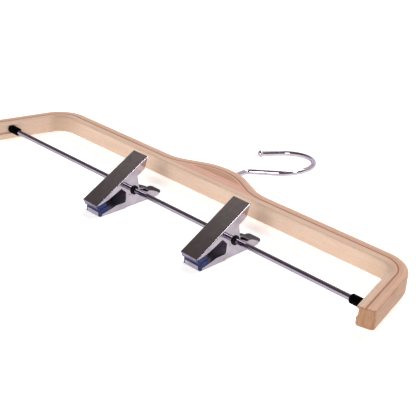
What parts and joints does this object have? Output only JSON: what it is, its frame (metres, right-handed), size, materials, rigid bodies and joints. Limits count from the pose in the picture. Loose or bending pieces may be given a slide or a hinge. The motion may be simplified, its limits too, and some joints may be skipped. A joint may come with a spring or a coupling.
{
  "type": "clothes hanger",
  "caption": "Wooden trouser hanger with a bent laminated bow, a swivelling wire hook, a metal bar with black end caps and sprung metal clips that slide along the bar.",
  "frame": {"origin": "the point inside the hook, on the shank's axis, where it bears on a rail", "axes": "+X along the bar, +Y from the bar up to the hook, +Z out of the front of the hanger"},
  "size_m": [0.377, 0.1791, 0.0343],
  "materials": {
    "pale_ply": "lacquered",
    "dark_veneer": "lacquered",
    "reddish_filler": "lacquered",
    "plated_rod": "polished",
    "plated_wire": "polished",
    "plated_sheet": "polished",
    "spring_wire": "plain",
    "black_rubber": "satin",
    "black_nylon": "satin",
    "blue_vinyl": "soft vinyl"
  },
  "bodies": {
    "bow": {"outer_ply": "pale_ply", "second_ply": "pale_ply", "dark_veneer": "dark_veneer", "middle_ply": "pale_ply", "inner_ply": "pale_ply", "crown_filler": "reddish_filler", "trouser_bar": "plated_rod", "bar_cap_left": "black_rubber", "bar_cap_right": "black_rubber"},
    "hook": {"hook_wire": "plated_wire", "hook_ball_tip": "plated_wire"},
    "clip_left_bush": {"pivot_bush_left": "black_nylon"},
    "clip_left_lower": {"lower_jaw_left": "plated_sheet", "lower_pad_left": "blue_vinyl", "torsion_spring_left": "spring_wire"},
    "clip_left_upper": {"upper_jaw_left": "plated_sheet", "upper_pad_left": "blue_vinyl"},
    "clip_right_bush": {"pivot_bush_right": "black_nylon"},
    "clip_right_lower": {"lower_jaw_right": "plated_sheet", "lower_pad_right": "blue_vinyl", "torsion_spring_right": "spring_wire"},
    "clip_right_upper": {"upper_jaw_right": "plated_sheet", "upper_pad_right": "blue_vinyl"}
  },
  "joints": [
    {"name": "hook_turn", "type": "hinge", "parent": "bow", "child": "hook", "pos_m": [0, -0.07, 0], "axis": [0, 1, 0], "continuous": true},
    {"name": "clip_left_slide", "type": "slide", "parent": "bow", "child": "clip_left_bush", "axis": [1, 0, 0], "range_m": [-0.1225, 0.024]},
    {"name": "clip_left_swing", "type": "hinge", "parent": "clip_left_bush", "child": "clip_left_lower", "pos_m": [-0.0334, -0.14, 0.0015], "axis": [1, 0, 0], "continuous": true},
    {"name": "clip_left_open", "type": "hinge", "parent": "clip_left_lower", "child": "clip_left_upper", "pos_m": [-0.0334, -0.14, 0.0015], "axis": [-1, 0, 0], "range_deg": [0, 28], "stiffness_Nm_per_rad": 0.05, "springref_deg": -34.38, "deforming": ["torsion_spring_left"]},
    {"name": "clip_right_slide", "type": "slide", "parent": "bow", "child": "clip_right_bush", "axis": [1, 0, 0], "range_m": [-0.0556, 0.0909]},
    {"name": "clip_right_swing", "type": "hinge", "parent": "clip_right_bush", "child": "clip_right_lower", "pos_m": [0.065, -0.14, 0.0015], "axis": [1, 0, 0], "continuous": true},
    {"name": "clip_right_open", "type": "hinge", "parent": "clip_right_lower", "child": "clip_right_upper", "pos_m": [0.065, -0.14, 0.0015], "axis": [-1, 0, 0], "range_deg": [0, 28], "stiffness_Nm_per_rad": 0.05, "springref_deg": -34.38, "deforming": ["torsion_spring_right"]}
  ]
}
